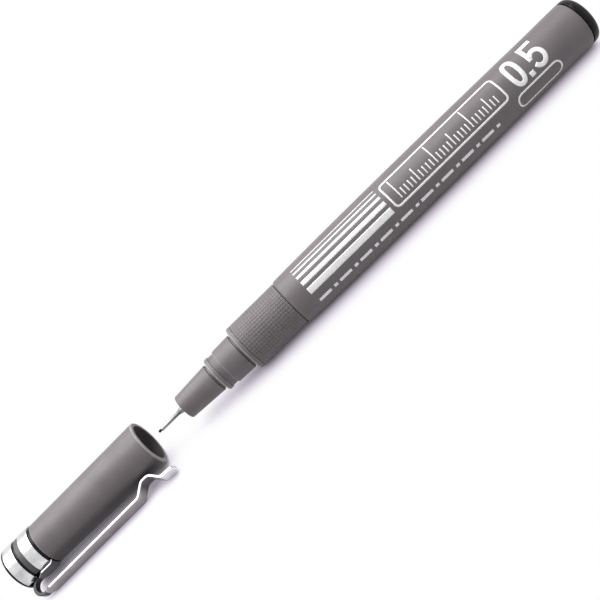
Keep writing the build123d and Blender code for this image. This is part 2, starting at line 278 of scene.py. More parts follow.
def soaked_fibre(name, dark, pale):
    """Bundle of fine fibres along the pen, wet with ink."""
    finish, tree, shader = new_finish(name)
    fibres = grain(tree, fibres_per_metre, fibre_stretch)
    colour = mixed(tree, spread(tree, fibres), dark, pale)
    shader.inputs["Specular IOR Level"].default_value = wet_gloss
    set_surface(tree, shader, colour, spread(tree, fibres, *fibre_roughness), fibres, fibre_relief)
    return finish


nib_front, nib_rear, nib_radius = node_span("nib")
nib = turned_piece(
    "nib_rod",
    [
        (nib_front, 0, 0),
        (nib_front, nib_radius, nib_tip_round),
        (nib_rear, nib_radius, nib_end_round),
        (nib_rear, 0, 0),
    ],
    columns=48,
)
dress(nib, "nib", "pen", soaked_fibre("nib_fibre", nib_black, nib_worn))


# Steel sleeve: a thin drawn tube round the nib, with a small cone at its foot.
# Its wider stem is pressed into the plastic cone.
sleeve_wall = 0.12
sleeve_fit = 0.02
sleeve_tube_length = 4.8
sleeve_foot_length = 1.6
sleeve_edge_round = 0.04
sleeve_foot_round = 0.3
sleeve_foot_painted_shade = 0.8
steel_dark = (0.20, 0.20, 0.205, 1)
steel_pale = (0.42, 0.42, 0.43, 1)
steel_painted_shade = (0.07, 0.07, 0.072, 1)
steel_roughness = (0.2, 0.36)
steel_relief = 0.004
drawing_lines_per_metre = 16000
drawing_stretch = (0.02, 1, 1)


def drawn_steel():
    """Bare steel with fine lines along the direction in which it was drawn, and painted shade where its mesh
    is marked below 0.
    """
    finish, tree, shader = new_finish("drawn_steel")
    lines = grain(tree, drawing_lines_per_metre, drawing_stretch)
    colour = mixed(tree, spread(tree, lines), steel_dark, steel_pale)
    # Painted shade: darker steel where the edge attribute is below 0.
    colour = mixed(tree, edge_state(tree, -1), colour, steel_painted_shade)
    shader.inputs["Metallic"].default_value = 1
    set_surface(tree, shader, colour, spread(tree, lines, *steel_roughness), lines, steel_relief)
    return finish


sleeve_front, sleeve_rear, sleeve_stem_radius = node_span("nib_sleeve")
sleeve_bore = nib_radius + sleeve_fit
sleeve_radius = sleeve_bore + sleeve_wall
sleeve_foot = sleeve_front + sleeve_tube_length
sleeve_stem = sleeve_foot + sleeve_foot_length
sleeve = turned_piece(
    "nib_tube",
    [
        (sleeve_front, sleeve_bore, sleeve_edge_round),
        (sleeve_front, sleeve_radius, sleeve_edge_round),
        (sleeve_foot, sleeve_radius, sleeve_foot_round),
        (sleeve_stem, sleeve_stem_radius, sleeve_edge_round),
        (sleeve_rear, sleeve_stem_radius, sleeve_edge_round),
        (sleeve_rear, sleeve_bore, sleeve_edge_round),
    ],
    columns=64,
    # Painted shade darkens the foot of the sleeve's cone.
    painted_shade=(
        sleeve_foot - sleeve_foot_round,
        sleeve_foot + sleeve_foot_round,
        sleeve_stem_radius,
        sleeve_foot_painted_shade,
    ),
)
dress(sleeve, "nib_sleeve", "pen", drawn_steel())


# Cone: a grey moulding that carries the steel sleeve, with a rounded front edge.
# A groove parts it from the flange, and its stem is pressed into the grip section.
cone_front_radius = 2.84
cone_length = 8.85
cone_groove_length = 0.65
cone_groove_depth = 0.35
cone_stem_radius = 2.25
cone_front_round = 0.3
cone_seat_fit = 0.02
cone_wick_bore = 1.15
cone_step_gap = 0.05
cone_groove_painted_shade = 0.5
edge_break = 0.05
grey_gloss = 0.35
grey_dark = (0.139, 0.123, 0.131, 1)
grey_pale = (0.162, 0.145, 0.153, 1)
grey_wear_and_highlight = (0.42, 0.40, 0.41, 1)
grey_painted_shade = (0.085, 0.077, 0.080, 1)
grey_roughness = (0.38, 0.5)
grey_relief = 0.006
wear_and_highlight_cover = (0.5, 1)
cloud_per_metre = 240
flow_per_metre = 900
flow_stretch = (0.15, 1, 1)
pits_per_metre = 11000
pits_detail = 2


def mould_pits(tree):
    """Noise as fine as the pits that a mould leaves."""
    return grain(tree, pits_per_metre, detail=pits_detail)


def grey_moulding():
    """Satin grey plastic: cloudy colour, paler edges that are partly wear and partly painted highlight,
    painted shade where marked, and the fine pits of its mould.
    """
    finish, tree, shader = new_finish("grey_moulding")
    clouds = spread(tree, grain(tree, cloud_per_metre))
    body = mixed(tree, clouds, grey_dark, grey_pale)
    # Edges above 0 turn paler, partly wear and partly painted highlight; spans below 0 darken with painted
    # shade.
    patches = spread(tree, grain(tree, flow_per_metre), *wear_and_highlight_cover)
    colour = mixed(tree, edge_state(tree, patches), body, grey_wear_and_highlight)
    colour = mixed(tree, edge_state(tree, -1), colour, grey_painted_shade)
    flow = grain(tree, flow_per_metre, flow_stretch)
    shader.inputs["Specular IOR Level"].default_value = grey_gloss
    set_surface(tree, shader, colour, spread(tree, flow, *grey_roughness), mould_pits(tree), grey_relief)
    return finish


grey_plastic = grey_moulding()
cone_front, cone_rear, cone_radius = node_span("nib_holder")
cone_groove = cone_front + cone_length
cone_groove_radius = cone_radius - cone_groove_depth
flange_front = cone_groove + cone_groove_length
cone_seat_radius = sleeve_stem_radius + cone_seat_fit
cone_step = sleeve_rear + cone_step_gap
cone = turned_piece(
    "nib_cone",
    [
        (cone_front, cone_seat_radius, edge_break),
        (cone_front, cone_front_radius, cone_front_round),
        (cone_groove, cone_radius, edge_break),
        (cone_groove, cone_groove_radius, edge_break),
        (flange_front, cone_groove_radius, edge_break),
        (flange_front, cone_stem_radius, edge_break),
        (cone_rear, cone_stem_radius, edge_break),
        (cone_rear, cone_wick_bore, edge_break),
        (cone_step, cone_wick_bore, 0),
        (cone_step, cone_seat_radius, 0),
    ],
    wear_and_painted_light=0,
    # Painted shade darkens the groove between the cone and the flange.
    painted_shade=(cone_groove, flange_front, cone_groove_radius + edge_break, cone_groove_painted_shade),
)
dress(cone, "nib_holder", "pen", grey_plastic)


# Grip section: one grey moulding with a flange, a slightly flared neck that the cap slips over,
# and a knurled grip of small square studs between two ring grooves.
# Its rear spigot is pressed into the barrel.
flange_radius = 4.07
flange_length = 0.95
flange_front_round = 0.3
flange_groove_radius = 3.87
flange_groove_length = 1.55
flange_groove_painted_shade = 0.6
flange_shade_reach = 0.45
neck_front_radius = 4.16
neck_front_round = 0.12
neck_radius = 4.33
neck_length = 5.2
relief_length = 0.65
relief_depth = 0.3
grip_length = 13.6
grip_front_round = 0.35
flange_wear_and_highlight = 0.75
grip_wear_and_highlight = 0.5
relief_painted_shade = 1.0
spigot_radius = 4.53
spigot_bore = 3.53
stem_seat_radius = 2.27
stem_seat_spare = 0.4
knurl_front_border = 1.0
knurl_ring_width = 0.25
knurl_ring_depth = 0.22
knurl_rows = 18
knurl_columns = 48
knurl_depth = 0.13
knurl_groove_share = 0.30
knurl_wall_share = 0.12
knurl_samples = np.array([0, 0.12, 0.19, 0.31, 0.69, 0.81, 0.88])


def knurl_groove(cycle):
    """Depth of a groove at a place in its cycle: 1 on the flat floor, 0 on the stud's top.

    The distance to the nearest groove goes through a smooth step that is as wide as the wall.
    """
    distance = np.abs(cycle - np.round(cycle))
    step = np.clip((distance - knurl_groove_share / 2 + knurl_wall_share) / knurl_wall_share, 0, 1)
    return 1 - step * step * (3 - 2 * step)


grip_section_rear, grip_radius = node_span("grip_section")[1:]
flange_rear = flange_front + flange_length
neck_front = flange_rear + flange_groove_length
grip_front = neck_front + neck_length
relief_front = grip_front - relief_length
relief_radius = neck_radius - relief_depth
barrel_front = grip_front + grip_length
stem_seat_rear = cone_rear + stem_seat_spare
ring_front = grip_front + knurl_front_border
ring_radius = grip_radius - knurl_ring_depth
knurl_front = ring_front + knurl_ring_width
knurl_rear = barrel_front - knurl_ring_width
knurl_pitch = (knurl_rear - knurl_front) / (knurl_rows - knurl_groove_share)
knurl_start = knurl_front - knurl_pitch * knurl_groove_share / 2
row_cycles = (np.arange(knurl_rows)[:, None] + knurl_samples).ravel()
knurl_places = knurl_start + row_cycles * knurl_pitch
knurl_places = knurl_places[(knurl_places > knurl_front) & (knurl_places < knurl_rear)]
knurl_places = np.concatenate([[knurl_front], knurl_places, [knurl_rear]])
grip_profile, grip_edges = rounded_profile(
    [
        (flange_front, stem_seat_radius, 0),
        (flange_front, flange_radius, flange_front_round),
        (flange_rear, flange_radius, edge_break),
        (flange_rear, flange_groove_radius, edge_break),
        (neck_front, flange_groove_radius, edge_break),
        (neck_front, neck_front_radius, neck_front_round),
        (relief_front, neck_radius, edge_break),
        (relief_front, relief_radius, edge_break),
        (grip_front, relief_radius, edge_break),
        (grip_front, grip_radius, grip_front_round),
        (ring_front, grip_radius, edge_break),
        (ring_front, ring_radius, 0),
        (knurl_front, ring_radius, 0),
        *[(place, grip_radius, 0) for place in knurl_places],
        (knurl_rear, ring_radius, 0),
        (barrel_front, ring_radius, 0),
        (barrel_front, spigot_radius, edge_break),
        (grip_section_rear, spigot_radius, edge_break),
        (grip_section_rear, spigot_bore, edge_break),
        (stem_seat_rear, spigot_bore, 0),
        (stem_seat_rear, stem_seat_radius, 0),
    ]
)
# The flange's and grip's edges are paled, partly wear and partly painted highlight.
grip_edges *= np.where(grip_profile[:, 0] < neck_front, flange_wear_and_highlight, grip_wear_and_highlight)
# Painted shade darkens the groove behind the flange and the relief groove in front of the grip.
flange_shade_rear = flange_rear + flange_shade_reach
paint_shade(grip_profile, grip_edges, flange_rear, flange_shade_rear, flange_radius, flange_groove_painted_shade)
paint_shade(grip_profile, grip_edges, relief_front, grip_front, relief_radius + edge_break, relief_painted_shade)
column_cycles = (np.arange(knurl_columns)[:, None] + knurl_samples).ravel()
along_grooves = knurl_groove((grip_profile[:, 0] - knurl_start) / knurl_pitch)
knurled = np.isclose(grip_profile[:, 1], grip_radius) & np.isin(grip_profile[:, 0], knurl_places)
sunk = np.maximum(along_grooves[:, None], knurl_groove(column_cycles)) * knurled[:, None]
grip_section = revolved(
    "grip_moulding",
    grip_profile[:, 0],
    grip_profile[:, 1:] - knurl_depth * sunk,
    column_cycles * 2 * np.pi / knurl_columns,
    grip_edges,
)
dress(grip_section, "grip_section", "pen", grey_plastic)


# Barrel: a grey moulded tube with a rounded shoulder and a long, slight crown.
# The tail runs straight for the plug, and six ribs inside keep the ink reservoir in the middle.
barrel_front_radius = 5.44
shoulder_length = 0.5
shoulder_radius = 5.63
shoulder_round = 0.6
crown_from_front = 25.3
crown_spare = 0.004
tail_radius = 5.55
tail_straight_length = 9.5
tail_edge_round = 0.12
barrel_bore = 4.55
rib_count = 6
rib_height = 0.3
rib_width = 0.7
rib_front_gap = 9.3
rib_rear_gap = 7.3
rib_end_step = 0.02
crown_steps = 40
barrel_columns = 180


def barrel_radius(place):
    """Outside radius along the barrel: two arcs that meet level at the crown, then a straight tail.

    An arc with the drop d over the run l has the radius (l * l + d * d) / 2d.
    """
    run = np.where(place < crown, crown - shoulder, tail_straight - crown)
    drop = np.where(place < crown, crown_radius - shoulder_radius, crown_radius - tail_radius)
    arc = (run**2 + drop**2) / (2 * drop)
    bowed = crown_radius - arc + np.sqrt(arc**2 - (place - crown) ** 2)
    return np.where(place < tail_straight, bowed, tail_radius)


barrel_rear, barrel_widest = node_span("barrel")[1:]
crown_radius = barrel_widest - crown_spare
shoulder = barrel_front + shoulder_length
crown = barrel_front + crown_from_front
tail_straight = barrel_rear - tail_straight_length
rib_front = barrel_front + rib_front_gap
rib_rear = barrel_rear - rib_rear_gap
crown_places = np.linspace(shoulder, tail_straight, crown_steps)[1:]
barrel_profile = rounded_profile(
    [
        (barrel_front, barrel_bore, edge_break),
        (barrel_front, barrel_front_radius, edge_break),
        (shoulder, shoulder_radius, shoulder_round),
        *[(place, barrel_radius(place), 0) for place in crown_places],
        (barrel_rear, tail_radius, tail_edge_round),
        (barrel_rear, barrel_bore, edge_break),
        (rib_rear + rib_end_step, barrel_bore, 0),
        (rib_rear, barrel_bore, 0),
        (rib_front, barrel_bore, 0),
        (rib_front - rib_end_step, barrel_bore, 0),
    ]
)[0]
barrel_turns = np.arange(barrel_columns) * 2 * np.pi / barrel_columns
rib_cycle = (barrel_turns / (2 * np.pi) * rib_count) % 1 - 0.5
rib_half_cycle = rib_width / 2 / (2 * np.pi * barrel_bore) * rib_count
ribbed = np.isin(barrel_profile[:, 0], (rib_front, rib_rear))
ribs = rib_height * ribbed[:, None] * (np.abs(rib_cycle) < rib_half_cycle)
barrel = revolved(
    "barrel_tube",
    barrel_profile[:, 0],
    barrel_profile[:, 1:] - ribs,
    barrel_turns,
    np.zeros(len(barrel_profile)),
)
dress(barrel, "barrel", "pen", grey_plastic)


# Print: white ink, pad printed on the side of the barrel that faces the hand.
# It shows five line weights, a small ruler in a rounded frame, the nib's line width in millimetres,
# a bare pill and a chain line, as on a drawing.
print_turn = math.radians(152)
ink_height = 0.012
ink_under_height = 0.006
ink_cell = 0.25
ink_least_step = 0.025
ink_white = (0.94, 0.94, 0.94, 1)
ink_thin = (0.84, 0.835, 0.84, 1)
ink_roughness = (0.4, 0.55)
ink_relief = 0.003
print_top = 5.2
print_foot = -1.7
weights_front = 42.3
weights_rear = 65.6
line_weights = (0.25, 0.4, 0.65, 1.0, 1.5)
frame_front = 66.5
frame_rear = 98.1
frame_top = 4.9
frame_stroke = 0.45
frame_round = 0.9
tick_stroke = 0.3
tick_count = 28
tick_pitch = 1.0
tick_foot = -0.6
tick_tops = (4.2, 1.2, 1.2, 1.2, 1.2, 2.6, 1.2, 1.2, 1.2, 1.2)
numeral_front = 100.4
numeral_stroke = 1.0
zero_width = 3.4
zero_fullness = 2.6
zero_steps = 64
point_middle = 104.7
point_side = 1.15
five_middle = 107.7
five_half_width = 1.5
five_bowl_half = 1.75
five_bowl_from = 150
five_bowl_to = -155
five_bowl_steps = 25
five_foot_overlap = 0.3
pill_front = 98.8
pill_rear = 110.9
pill_top = -2.4
pill_foot = -5.8
pill_stroke = 0.4
pill_round = 1.35
chain_front = 42.7
chain_level = -4.1
chain_stroke = 0.75
chain_period = 5.7
chain_count = 9
chain_dash = 3.2
chain_dot_from = 4.1
chain_dot = 0.9


def inked_stroke(path, width, closed=False, thickness=ink_height):
    """Ribbon of ink along a path of (place from the nib, arc up from the print's middle line).

    Even steps go across the path, once above the barrel's surface and once below it. An arc is
    wrapped round the barrel as the angle arc / radius.
    """
    path = np.asarray(path, float)
    ahead = np.roll(path, -1, axis=0) - path
    if not closed:
        ahead[-1] = ahead[-2]
    ahead /= np.linalg.norm(ahead, axis=1)[:, None]
    behind = np.roll(ahead, 1, axis=0)
    if not closed:
        behind[0] = ahead[0]
    course = ahead + behind
    course /= np.linalg.norm(course, axis=1)[:, None]
    sideways = np.stack([-course[:, 1], course[:, 0]], axis=-1)
    steps = max(2, math.ceil(width / ink_cell) + 1)
    across = np.linspace(-width / 2, width / 2, steps)
    across = np.append(across, across[::-1])
    height = np.repeat((thickness, -thickness), steps)
    flat = path[:, None] + across[:, None] * sideways[:, None]
    place = nib_front + flat[..., 0]
    radius = barrel_radius(place)
    turn = print_turn - flat[..., 1] / radius
    radius = radius + height
    grid = np.stack([place, radius * np.cos(turn), radius * np.sin(turn)], axis=-1)
    return grid_part(grid, "closed" if closed else "capped")


def straight_stroke(start, stop, width, thickness=ink_height):
    """Straight ribbon of ink, divided so that it follows the barrel."""
    steps = max(2, math.ceil(math.dist(start, stop) / ink_cell) + 1)
    return inked_stroke(np.linspace(start, stop, steps), width, thickness=thickness)


def ringed_stroke(front, rear, foot, top, stroke, rounding):
    """Outline of a rounded panel, with its straight sides divided so that they follow the barrel."""
    inset = stroke / 2
    corners = [
        (front + inset, foot + inset, rounding),
        (front + inset, top - inset, rounding),
        (rear - inset, top - inset, rounding),
        (rear - inset, foot + inset, rounding),
    ]
    path = rounded_profile(corners)[0]
    path = np.vstack([path, path[:1]])
    reached = np.append(0, np.cumsum(np.linalg.norm(np.diff(path, axis=0), axis=1)))
    even = np.unique(np.append(reached, np.arange(0, reached[-1], ink_cell)))[:-1]
    even = even[np.append(True, np.diff(even) > ink_least_step)]
    ring = np.stack([np.interp(even, reached, axis) for axis in path.T], axis=-1)
    return inked_stroke(ring, stroke, True)


def bowl(middle, half_width, half_height, start, stop):
    """Part of an ellipse between two angles in degrees, as a path."""
    turn = np.radians(np.linspace(start, stop, five_bowl_steps))
    return middle + np.stack([half_width * np.cos(turn), half_height * np.sin(turn)], axis=-1)


def printing_ink():
    """Matt white ink, a little thin in places."""
    finish, tree, shader = new_finish("printing_ink")
    cover = grain(tree, flow_per_metre)
    colour = mixed(tree, spread(tree, cover), ink_thin, ink_white)
    set_surface(tree, shader, colour, spread(tree, cover, *ink_roughness), mould_pits(tree), ink_relief)
    return finish


weight_gap = (print_top - print_foot - sum(line_weights)) / (len(line_weights) - 1)
weight_levels = print_top - np.cumsum([0, *line_weights])[:-1] - np.array(line_weights) / 2
weight_levels -= weight_gap * np.arange(len(line_weights))
strokes = [
    straight_stroke((weights_front, level), (weights_rear, level), weight)
    for level, weight in zip(weight_levels, line_weights)
]
strokes.append(ringed_stroke(frame_front, frame_rear, print_foot, frame_top, frame_stroke, frame_round))
tick_front = (frame_front + frame_rear - (tick_count - 1) * tick_pitch) / 2
for number in range(tick_count):
    tick_place = tick_front + number * tick_pitch
    tick_top = tick_tops[number % len(tick_tops)]
    strokes.append(straight_stroke((tick_place, tick_foot), (tick_place, tick_top), tick_stroke))
zero_turn = np.linspace(0, 2 * np.pi, zero_steps, endpoint=False)
zero_round = np.stack([np.cos(zero_turn), np.sin(zero_turn)], axis=-1)
zero_shape = np.sign(zero_round) * np.abs(zero_round) ** (2 / zero_fullness)
zero_half = np.array([zero_width - numeral_stroke, print_top - print_foot - numeral_stroke]) / 2
zero_middle = (numeral_front + zero_width / 2, (print_top + print_foot) / 2)
strokes.append(inked_stroke(zero_middle + zero_shape * zero_half, numeral_stroke, True))
point_level = print_foot + point_side / 2
point_ends = point_middle + np.array([-point_side, point_side]) / 2
strokes.append(straight_stroke((point_ends[0], point_level), (point_ends[1], point_level), point_side))
five_left = five_middle - five_half_width
five_right = five_middle + five_half_width
bar_level = print_top - numeral_stroke / 2
bowl_middle = (five_middle, print_foot + numeral_stroke / 2 + five_bowl_half)
bar_front = five_left - numeral_stroke / 2
upright_foot = bowl_middle[1] + five_foot_overlap
strokes.append(straight_stroke((bar_front, bar_level), (five_right, bar_level), numeral_stroke))
strokes.append(
    straight_stroke((five_left, bar_level), (five_left, upright_foot), numeral_stroke, ink_under_height)
)
five_bowl = bowl(bowl_middle, five_half_width, five_bowl_half, five_bowl_from, five_bowl_to)
strokes.append(inked_stroke(five_bowl, numeral_stroke))
strokes.append(ringed_stroke(pill_front, pill_rear, pill_foot, pill_top, pill_stroke, pill_round))
for number in range(chain_count):
    dash_front = chain_front + number * chain_period
    dot_front = dash_front + chain_dot_from
    for front, length in ((dash_front, chain_dash), (dot_front, chain_dot)):
        strokes.append(straight_stroke((front, chain_level), (front + length, chain_level), chain_stroke))
barrel_print = add_piece("barrel_print", strokes)
barrel_print.data.materials.append(printing_ink())
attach(barrel_print, "pen")


# Tail plug: a glossy black moulding that closes the barrel, with a rounded head.
# A groove next to the barrel lets it be pulled, and its hollow spigot is pressed in.
plug_groove_length = 0.35
plug_groove_depth = 0.35
plug_head_round = 1.3
plug_floor = 1.2
plug_fit = 0.02
plug_wall = 1.0
plug_lead_in = 0.25
black_deep = (0.003, 0.003, 0.0034, 1)
black_dusty = (0.008, 0.008, 0.0085, 1)
black_handled = (0.03, 0.03, 0.031, 1)
black_gloss = 0.15
black_roughness = (0.14, 0.26)
black_relief = 0.002
smear_per_metre = 500


def glossy_black():
    """Polished black plastic with faint smears and dulled edges."""
    finish, tree, shader = new_finish("glossy_black")
    smears = grain(tree, smear_per_metre)
    body = mixed(tree, spread(tree, smears), black_deep, black_dusty)
    colour = mixed(tree, edge_state(tree, smears), body, black_handled)
    shader.inputs["Specular IOR Level"].default_value = black_gloss
    set_surface(tree, shader, colour, spread(tree, smears, *black_roughness), mould_pits(tree), black_relief)
    return finish


black_plastic = glossy_black()
plug_front, plug_rear, plug_radius = node_span("tail_plug")
plug_spigot_radius = barrel_bore - plug_fit
plug_hollow_radius = plug_spigot_radius - plug_wall
plug_hollow = barrel_rear - plug_floor
plug_head = barrel_rear + plug_groove_length
tail_plug = turned_piece(
    "tail_stopper",
    [
        (plug_hollow, 0, 0),
        (plug_hollow, plug_hollow_radius, edge_break),
        (plug_front, plug_hollow_radius, edge_break),
        (plug_front, plug_spigot_radius, plug_lead_in),
        (barrel_rear, plug_spigot_radius, edge_break),
        (barrel_rear, plug_radius - plug_groove_depth, edge_break),
        (plug_head, plug_radius - plug_groove_depth, edge_break),
        (plug_head, plug_radius, edge_break),
        (plug_rear, plug_radius, plug_head_round),
        (plug_rear, 0, 0),
    ],
    columns=144,
)
dress(tail_plug, "tail_plug", "pen", black_plastic)


# Ink store: a fibre rod soaked with ink in a clear film, and the wick that leads from it to the nib.
# They lie inside the barrel, held by its ribs.
fibre_dark = (0.010, 0.010, 0.013, 1)
fibre_pale = (0.035, 0.034, 0.04, 1)
film_clear = (0.86, 0.87, 0.88, 1)
film_creased = (0.74, 0.75, 0.77, 1)
film_clearness = 0.9
film_roughness = (0.05, 0.2)
film_relief = 0.02
crease_per_metre = 700
crease_stretch = (0.2, 1, 1)


def clear_film():
    """Thin clear plastic film with lengthwise creases."""
    finish, tree, shader = new_finish("clear_film")
    creases = grain(tree, crease_per_metre, crease_stretch)
    colour = mixed(tree, spread(tree, creases), film_clear, film_creased)
    shader.inputs["Transmission Weight"].default_value = film_clearness
    set_surface(tree, shader, colour, spread(tree, creases, *film_roughness), creases, film_relief)
    return finish


def finish_node(node, finish):
    """Gives a CAD node that stays in sight its finish."""
    materials = frame["nodes"][node].data.materials
    materials.clear()
    materials.append(finish)


ink_fibre = soaked_fibre("ink_fibre", fibre_dark, fibre_pale)
finish_node("feed_wick", ink_fibre)
finish_node("ink_reservoir", ink_fibre)
finish_node("reservoir_film", clear_film())


# Cap tube: a grey moulding that widens slightly to its mouth, with a rounded rim.
# Its wide front bore slips over the neck, and the step behind that seats the inner cap.
cap_mouth_radius = 5.29
cap_rear_radius = 4.86
cap_bore = 4.47
cap_rear_bore = 4.20
cap_rim_round = 0.3
cap_bore_round = 0.12
cap_bore_painted_shade = 1.0
seal_flange_length = 1.2

cap_rear, cap_mouth = node_span("cap_shell")[:2]
inner_cap_rear, seal_front, seal_flange_radius = node_span("inner_cap")
seal_seat = seal_front - seal_flange_length
cap_tube = turned_piece(
    "cap_tube",
    [
        (cap_rear, cap_rear_bore, edge_break),
        (cap_rear, cap_rear_radius, edge_break),
        (cap_mouth, cap_mouth_radius, cap_rim_round),
        (cap_mouth, cap_bore, cap_bore_round),
        (seal_seat, cap_bore, 0),
        (seal_seat, cap_rear_bore, 0),
    ],
    columns=160,
    # Painted shade darkens the bore; the rim's edges are paled, partly wear and partly painted highlight.
    painted_shade=(cap_rear, cap_mouth - cap_bore_round / 2, cap_bore + edge_break, cap_bore_painted_shade),
)
dress(cap_tube, "cap_shell", "cap", grey_plastic)


# Inner cap: a dark thimble pressed into the cap tube, so that the nib doesn't dry.
# Its flange meets the flange of the grip section, and its well clears the cone and the steel sleeve.
inner_cap_fit = 0.02
inner_cap_fit_length = 3.0
inner_cap_wall = 0.6
inner_cap_nose_round = 0.6
cone_well_from_seal = 9.92
cone_well_radius = 3.26
seal_bore = 3.76
nib_well_throat = 2.0
nib_well_radius = 1.5
thimble_dark = (0.024, 0.023, 0.024, 1)
thimble_pale = (0.041, 0.039, 0.041, 1)
thimble_roughness = (0.55, 0.7)
thimble_relief = 0.01


def matt_dark():
    """Unpolished dark plastic with the grain of a rough mould."""
    finish, tree, shader = new_finish("matt_dark")
    clouds = grain(tree, smear_per_metre)
    colour = mixed(tree, spread(tree, clouds), thimble_dark, thimble_pale)
    roughness = spread(tree, clouds, *thimble_roughness)
    set_surface(tree, shader, colour, roughness, mould_pits(tree), thimble_relief)
    return finish


thimble_radius = cap_rear_bore - inner_cap_fit
cone_well = seal_front - cone_well_from_seal
nib_well = cone_well - nib_well_throat
inner_cap = turned_piece(
    "seal_thimble",
    [
        (inner_cap_rear, 0, 0),
        (inner_cap_rear, nib_well_radius + inner_cap_wall, inner_cap_nose_round),
        (nib_well, nib_well_radius + inner_cap_wall, edge_break),
        (cone_well, cone_well_radius + inner_cap_wall, edge_break),
        (seal_seat - inner_cap_fit_length, thimble_radius, edge_break),
        (seal_seat, thimble_radius, edge_break),
        (seal_seat, seal_flange_radius, edge_break),
        (seal_front, seal_flange_radius, edge_break),
        (seal_front, seal_bore, edge_break),
        (cone_well, cone_well_radius, edge_break),
        (nib_well, nib_well_radius, edge_break),
        (inner_cap_rear + inner_cap_wall, nib_well_radius, edge_break),
        (inner_cap_rear + inner_cap_wall, 0, 0),
    ],
)
dress(inner_cap, "inner_cap", "cap", matt_dark())


# End core: the glossy black plug that closes the cap; it shows as the joint line, the groove between
# the bands and the rim. The clip's tang and leg are seated in its pocket and keyway.
finish_node("cap_end_plug", black_plastic)


# Bands and collar: two rolled and chromed rings, pressed on the core, with a grey moulded collar
# between them. Each is open where the clip lies, and the rear one only as wide as the clip's tongue.
band_wall = 0.28
collar_wall = 0.16
collar_painted_shade = 1.0
band_edge_round = 0.1
leg_opening = 3.3
tongue_opening = 1.8
band_columns = 150
chrome_bright = (0.80, 0.80, 0.81, 1)
chrome_hazy = (0.52, 0.52, 0.54, 1)
chrome_roughness = (0.14, 0.28)
chrome_relief = 0.004
haze_per_metre = 420


def polished_chrome():
    """Bright plated metal with a slight haze of handling."""
    finish, tree, shader = new_finish("polished_chrome")
    haze = grain(tree, haze_per_metre)
    colour = mixed(tree, spread(tree, haze), chrome_bright, chrome_hazy)
    shader.inputs["Metallic"].default_value = 1
    set_surface(tree, shader, colour, spread(tree, haze, *chrome_roughness), haze, chrome_relief)
    return finish


def open_band(name, node, wall, opening, painted_shade=0.0):
    """Ring profile carried round the cap's axis, from one side of the clip to the other."""
    rear, front, radius = node_span(node)
    bore = radius - wall
    profile = rounded_profile(
        [
            (rear, bore, edge_break),
            (rear, radius, band_edge_round),
            (front, radius, band_edge_round),
            (front, bore, edge_break),
        ]
    )[0]
    gap = math.asin(opening / 2 / (radius - wall / 2))
    turns = np.linspace(clip_turn + gap, clip_turn + 2 * math.pi - gap, band_columns)[:, None]
    x = np.broadcast_to(profile[:, 0], (band_columns, len(profile)))
    grid = np.stack([x, profile[:, 1] * np.cos(turns), profile[:, 1] * np.sin(turns)], axis=-1)
    return add_piece(name, [grid_part(grid, "capped")], np.full(x.size, -painted_shade))


clip_hinge = next(joint for joint in frame["joints"] if joint["name"] == "clip_flex")
clip_droop = math.atan2(clip_hinge["axis"][1], -clip_hinge["axis"][2])
clip_turn = math.pi + clip_droop
chrome = polished_chrome()
front_ring = open_band("front_ring", "front_band", band_wall, leg_opening)
dress(front_ring, "front_band", "cap", chrome)
# Painted shade darkens the whole collar between the bands.
collar_ring = open_band("collar_ring", "core_collar", collar_wall, leg_opening, collar_painted_shade)
dress(collar_ring, "core_collar", "cap", grey_plastic)
rear_ring = open_band("rear_ring", "rear_band", band_wall, tongue_opening)
dress(rear_ring, "rear_band", "cap", chrome)


# Pocket clip: one strip of spring steel, bent and chromed.
# Its tang and leg sit in the core, a narrow tongue loops back, and the arm ends in a bump towards the
# cap and a flat tip. The tip is paler, a painted highlight; the inner side, the bump and the tongue are
# darker, painted shade.
clip_thickness = 0.7
clip_width = 3.0
clip_edge_round = 0.2
clip_tip_round = 0.8
clip_tip_steps = 9
clip_tang = 0.55
clip_tang_depth = 3.66
clip_leg_level = 5.01
clip_arm_level = 8.76
clip_loop_inset = 0.85
clip_tongue_width = 1.5
clip_tongue_gap = 0.3
clip_taper_length = 1.0
clip_row_gap = 0.3
clip_arc_steps = 12
clip_bump_middle = 4.8
clip_bump_flat = 1.9
clip_bump_level = 6.190
clip_bump_depth = 2.25
clip_bump_rear_run = 2.3
clip_bump_front_run = 2.0
clip_bump_drop = 2.35
clip_tip_past_mouth = 1.3
clip_tip_flare = 0.15
clip_tang_round = 0.7
clip_loop_round = 1.85
clip_bend_round = 1.4
clip_painted_shade_below = -0.3
tip_painted_highlight = 1.0
inner_painted_shade = -0.75
bump_painted_shade = -0.6
tongue_painted_shade = -1.0
strip_pale = (0.41, 0.40, 0.39, 1)
strip_hazy = (0.29, 0.285, 0.28, 1)
strip_painted_shade = (0.03, 0.029, 0.031, 1)
strip_painted_highlight = (0.86, 0.86, 0.87, 1)
strip_roughness = (0.1, 0.22)
strip_relief = 0.003
clip_scratch_per_metre = 5000
clip_scratch_stretch = (0.03, 1, 1)


def plated_strip():
    """Chromed spring steel with faint lines along the strip, a painted highlight at the tip and painted
    shade on the inner side, the bump and the tongue.
    """
    finish, tree, shader = new_finish("plated_strip")
    lines = grain(tree, clip_scratch_per_metre, clip_scratch_stretch)
    haze = grain(tree, haze_per_metre)
    colour = mixed(tree, spread(tree, haze), strip_pale, strip_hazy)
    # Painted highlight where the attribute is above 0, painted shade where it is below 0.
    colour = mixed(tree, edge_state(tree, 1), colour, strip_painted_highlight)
    colour = mixed(tree, edge_state(tree, -1), colour, strip_painted_shade)
    shader.inputs["Metallic"].default_value = 1
    set_surface(tree, shader, colour, spread(tree, lines, *strip_roughness), lines, strip_relief)
    return finish


